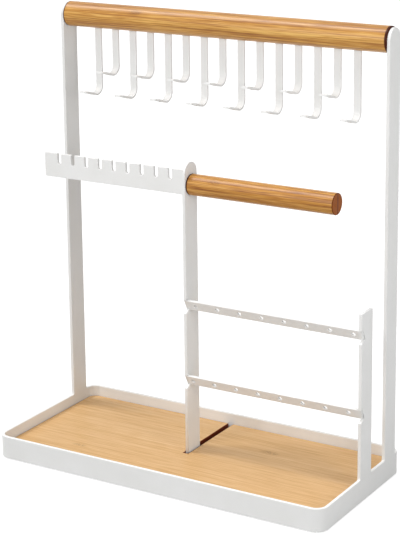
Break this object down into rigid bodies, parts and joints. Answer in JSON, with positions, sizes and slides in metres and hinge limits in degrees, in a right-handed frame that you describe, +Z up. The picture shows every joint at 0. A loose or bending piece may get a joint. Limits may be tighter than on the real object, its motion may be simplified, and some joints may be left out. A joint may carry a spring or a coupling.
{
  "type": "jewellery stand with tray",
  "caption": "Open jewellery stand: rimmed tray with a loose wooden board, uprights carrying a hooked top bar, and a centre post with a notched comb, a ring rod and drilled earring rails.",
  "frame": {"origin": "on the surface the stand's pads rest on, under the middle of the tray", "axes": "+X to the right along the tray's width, -Y out of the front, +Z up"},
  "size_m": [0.29, 0.133, 0.3516],
  "materials": {
    "white_steel": "matte white powder coat on flat steel",
    "bamboo_dowel": "carbonised bamboo rod, fine long fibres, satin lacquer",
    "bamboo_board": "laminated bamboo sheet, straight fine grain, satin lacquer",
    "plain_steel": "plain turned steel pin",
    "white_screw": "white painted steel socket screw",
    "rubber_pads": "translucent pale silicone"
  },
  "bodies": {
    "stand": {"tray_rim": "white_steel", "base_plate": "white_steel", "left_upright": "white_steel", "right_upright": "white_steel", "centre_post": "white_steel", "right_short_post": "white_steel", "comb_bar": "white_steel", "upper_earring_rail": "white_steel", "lower_earring_rail": "white_steel", "hook_long_1": "white_steel", "hook_short_1": "white_steel", "hook_long_2": "white_steel", "hook_short_2": "white_steel", "hook_long_3": "white_steel", "hook_short_3": "white_steel", "hook_long_4": "white_steel", "hook_short_4": "white_steel", "hook_long_5": "white_steel", "hook_short_5": "white_steel", "hook_long_6": "white_steel", "hook_short_6": "white_steel", "hook_long_7": "white_steel", "hook_short_7": "white_steel", "hook_long_8": "white_steel", "foot_pad_front_left": "rubber_pads", "foot_pad_front_right": "rubber_pads", "foot_pad_rear_left": "rubber_pads", "foot_pad_rear_right": "rubber_pads", "top_bar": "bamboo_dowel", "rod": "bamboo_dowel", "bar_pin_left": "plain_steel", "bar_pin_right": "plain_steel", "rod_screw": "white_screw"},
    "board": {"board": "bamboo_board"}
  },
  "joints": [
    {"name": "board_lift", "type": "slide", "parent": "stand", "child": "board", "axis": [0, 0, 1], "range_m": [0, 0.054]}
  ]
}
